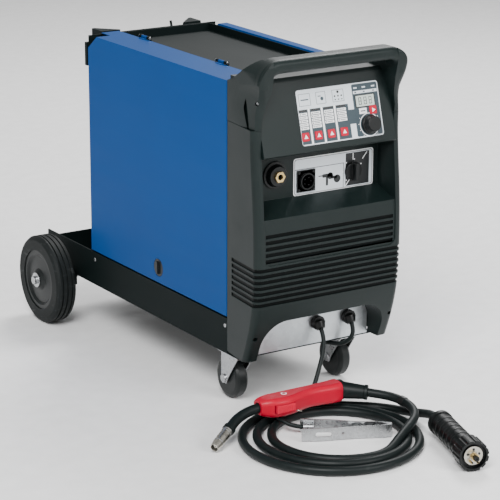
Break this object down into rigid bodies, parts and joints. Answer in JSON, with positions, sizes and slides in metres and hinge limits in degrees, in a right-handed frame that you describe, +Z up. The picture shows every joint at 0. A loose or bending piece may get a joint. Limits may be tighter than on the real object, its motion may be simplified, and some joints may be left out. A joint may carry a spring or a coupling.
{
  "type": "mig welder on cart",
  "caption": "Wire-feed welding machine in a sheet-metal cart with moulded front, push handle, side door, bottle tray, torch set and work clamp.",
  "frame": {"origin": "on the floor, under the centre of the object's box without its cords", "axes": "+X to the right seen from the front, +Y from the control panel towards the bottle tray, +Z up"},
  "size_m": [0.5162, 1.1925, 0.647],
  "materials": {
    "black_sheet": "satin powder coat, fine texture",
    "blue_paint": "semi-gloss powder coat",
    "zinc_sheet": "satin zinc-plated sheet",
    "cover_plastic": "matt textured moulding",
    "black_plastic": "satin",
    "button_red": "satin",
    "rubber": "matt",
    "tyre": "matt",
    "hub_plastic": "satin",
    "steel": "satin zinc plate",
    "nickel": "satin nickel plate",
    "brass": "machined",
    "torch_red": "semi-gloss",
    "aluminium": "cast",
    "board_green": "satin",
    "core_steel": "varnished laminations",
    "spool_plastic": "satin"
  },
  "bodies": {
    "chassis": {"floor_pan": "black_sheet", "front_lower_panel": "zinc_sheet", "right_side_panel": "blue_paint", "top_tray": "black_sheet", "rear_panel": "black_sheet", "centre_partition": "zinc_sheet", "lower_front_cover": "cover_plastic", "upper_front_cover": "cover_plastic", "spool_gun_socket": "black_plastic", "euro_socket": "black_plastic", "euro_socket_insert": "brass", "work_cable_gland": "black_plastic", "lead_gland": "black_plastic", "mains_gland": "black_plastic", "gas_inlet": "brass", "bottle_bracket": "black_sheet", "rear_axle": "steel", "caster_plates": "steel", "transformer": "core_steel", "control_board": "board_green", "fan_shroud": "black_plastic", "feed_unit": "aluminium", "spool_hub": "black_plastic", "door_hinge_pins": "steel", "torch_handle": "torch_red", "torch_neck": "rubber", "torch_nozzle": "nickel", "torch_boot": "rubber", "torch_hose_ends": "rubber", "torch_hose_coil": "rubber", "euro_plug": "black_plastic", "work_cable": "rubber", "short_lead": "rubber", "clamp_far_arm": "steel", "clamp_spring": "steel"},
    "side_door": {"side_door": "blue_paint"},
    "door_latch": {"door_latch": "black_plastic"},
    "encoder_knob": {"encoder_knob": "black_plastic"},
    "selector_knob": {"selector_knob": "black_plastic"},
    "fan_rotor": {"fan_rotor": "black_plastic"},
    "wire_spool": {"wire_spool": "spool_plastic"},
    "drive_roll": {"drive_roll": "steel"},
    "pressure_arm": {"pressure_arm": "black_plastic"},
    "pressure_roll": {"pressure_roll": "steel"},
    "torch_trigger": {"torch_trigger": "torch_red"},
    "list_button_1": {"list_button_1": "button_red"},
    "list_button_2": {"list_button_2": "button_red"},
    "list_button_3": {"list_button_3": "button_red"},
    "list_button_4": {"list_button_4": "button_red"},
    "menu_button": {"menu_button": "button_red"},
    "rear_wheel_left": {"rear_tyre_left": "tyre", "rear_hub_left": "hub_plastic"},
    "rear_wheel_right": {"rear_tyre_right": "tyre", "rear_hub_right": "hub_plastic"},
    "caster_left": {"caster_fork_left": "steel"},
    "caster_right": {"caster_fork_right": "steel"},
    "caster_wheel_left": {"caster_wheel_left": "hub_plastic"},
    "caster_wheel_right": {"caster_wheel_right": "hub_plastic"},
    "plug_ring": {"euro_plug_ring": "black_plastic"},
    "clamp_jaw": {"clamp_near_arm": "steel"}
  },
  "joints": [
    {"name": "side_door_hinge", "type": "hinge", "parent": "chassis", "child": "side_door", "pos_m": [-0.04194, 0.04771, 0.5984], "axis": [0, 1, 0], "range_deg": [0, 100]},
    {"name": "door_latch_turn", "type": "hinge", "parent": "side_door", "child": "door_latch", "pos_m": [-0.11194, 0.03771, 0.196], "axis": [1, 0, 0], "range_deg": [0, 90]},
    {"name": "rear_wheel_left_spin", "type": "hinge", "parent": "chassis", "child": "rear_wheel_left", "pos_m": [-0.15744, 0.40171, 0.088], "axis": [1, 0, 0], "continuous": true},
    {"name": "caster_left_swivel", "type": "hinge", "parent": "chassis", "child": "caster_left", "pos_m": [-0.07894, -0.19429, 0.09], "axis": [0, 0, 1], "continuous": true},
    {"name": "caster_wheel_left_spin", "type": "hinge", "parent": "caster_left", "child": "caster_wheel_left", "pos_m": [-0.07894, -0.17029, 0.038], "axis": [1, 0, 0], "continuous": true},
    {"name": "rear_wheel_right_spin", "type": "hinge", "parent": "chassis", "child": "rear_wheel_right", "pos_m": [0.22556, 0.40171, 0.088], "axis": [1, 0, 0], "continuous": true},
    {"name": "caster_right_swivel", "type": "hinge", "parent": "chassis", "child": "caster_right", "pos_m": [0.14706, -0.19429, 0.09], "axis": [0, 0, 1], "continuous": true},
    {"name": "caster_wheel_right_spin", "type": "hinge", "parent": "caster_right", "child": "caster_wheel_right", "pos_m": [0.14706, -0.17029, 0.038], "axis": [1, 0, 0], "continuous": true},
    {"name": "list_button_1_press", "type": "slide", "parent": "chassis", "child": "list_button_1", "axis": [0, 0.963, -0.2693], "range_m": [0, 0.0012], "stiffness_N_per_m": 250, "springref_m": -0.0006},
    {"name": "list_button_2_press", "type": "slide", "parent": "chassis", "child": "list_button_2", "axis": [0, 0.963, -0.2693], "range_m": [0, 0.0012], "stiffness_N_per_m": 250, "springref_m": -0.0006},
    {"name": "list_button_3_press", "type": "slide", "parent": "chassis", "child": "list_button_3", "axis": [0, 0.963, -0.2693], "range_m": [0, 0.0012], "stiffness_N_per_m": 250, "springref_m": -0.0006},
    {"name": "list_button_4_press", "type": "slide", "parent": "chassis", "child": "list_button_4", "axis": [0, 0.963, -0.2693], "range_m": [0, 0.0012], "stiffness_N_per_m": 250, "springref_m": -0.0006},
    {"name": "menu_button_press", "type": "slide", "parent": "chassis", "child": "menu_button", "axis": [0, 0.963, -0.2693], "range_m": [0, 0.0012], "stiffness_N_per_m": 250, "springref_m": -0.0006},
    {"name": "encoder_knob_turn", "type": "hinge", "parent": "chassis", "child": "encoder_knob", "pos_m": [0.12006, -0.30268, 0.50882], "axis": [0, -0.963, 0.2693], "continuous": true},
    {"name": "selector_knob_turn", "type": "hinge", "parent": "chassis", "child": "selector_knob", "pos_m": [0.11806, -0.26629, 0.416], "axis": [0, -1, 0], "range_deg": [-60, 60]},
    {"name": "fan_spin", "type": "hinge", "parent": "chassis", "child": "fan_rotor", "pos_m": [0.09206, 0.29021, 0.33], "axis": [0, 1, 0], "continuous": true},
    {"name": "wire_spool_spin", "type": "hinge", "parent": "chassis", "child": "wire_spool", "pos_m": [-0.03794, 0.12571, 0.362], "axis": [1, 0, 0], "continuous": true},
    {"name": "drive_roll_spin", "type": "hinge", "parent": "chassis", "child": "drive_roll", "pos_m": [-0.04794, -0.12429, 0.4145], "axis": [1, 0, 0], "continuous": true},
    {"name": "pressure_arm_swing", "type": "hinge", "parent": "chassis", "child": "pressure_arm", "pos_m": [-0.03594, -0.08229, 0.462], "axis": [-1, 0, 0], "range_deg": [0, 60]},
    {"name": "pressure_roll_spin", "type": "hinge", "parent": "pressure_arm", "child": "pressure_roll", "pos_m": [-0.04794, -0.12429, 0.4455], "axis": [1, 0, 0], "continuous": true},
    {"name": "torch_trigger_pull", "type": "hinge", "parent": "chassis", "child": "torch_trigger", "pos_m": [-0.07994, -0.36629, 0.044], "axis": [0, 0, -1], "range_deg": [0, 8], "stiffness_Nm_per_rad": 0.5, "springref_deg": -2.86},
    {"name": "plug_ring_turn", "type": "hinge", "parent": "chassis", "child": "plug_ring", "pos_m": [0.074, -0.67075, 0.0273], "axis": [-0.297, -0.9549, 0], "continuous": true},
    {"name": "clamp_open", "type": "hinge", "parent": "chassis", "child": "clamp_jaw", "pos_m": [-0.00505, -0.45346, 0.0126], "axis": [0, 0, -1], "range_deg": [0, 18], "stiffness_Nm_per_rad": 4, "springref_deg": -5.73, "deforming": ["clamp_spring"]}
  ],
  "couplings": [
    {"joint": "pressure_roll_spin", "follows": "drive_roll_spin", "ratio": -1}
  ]
}
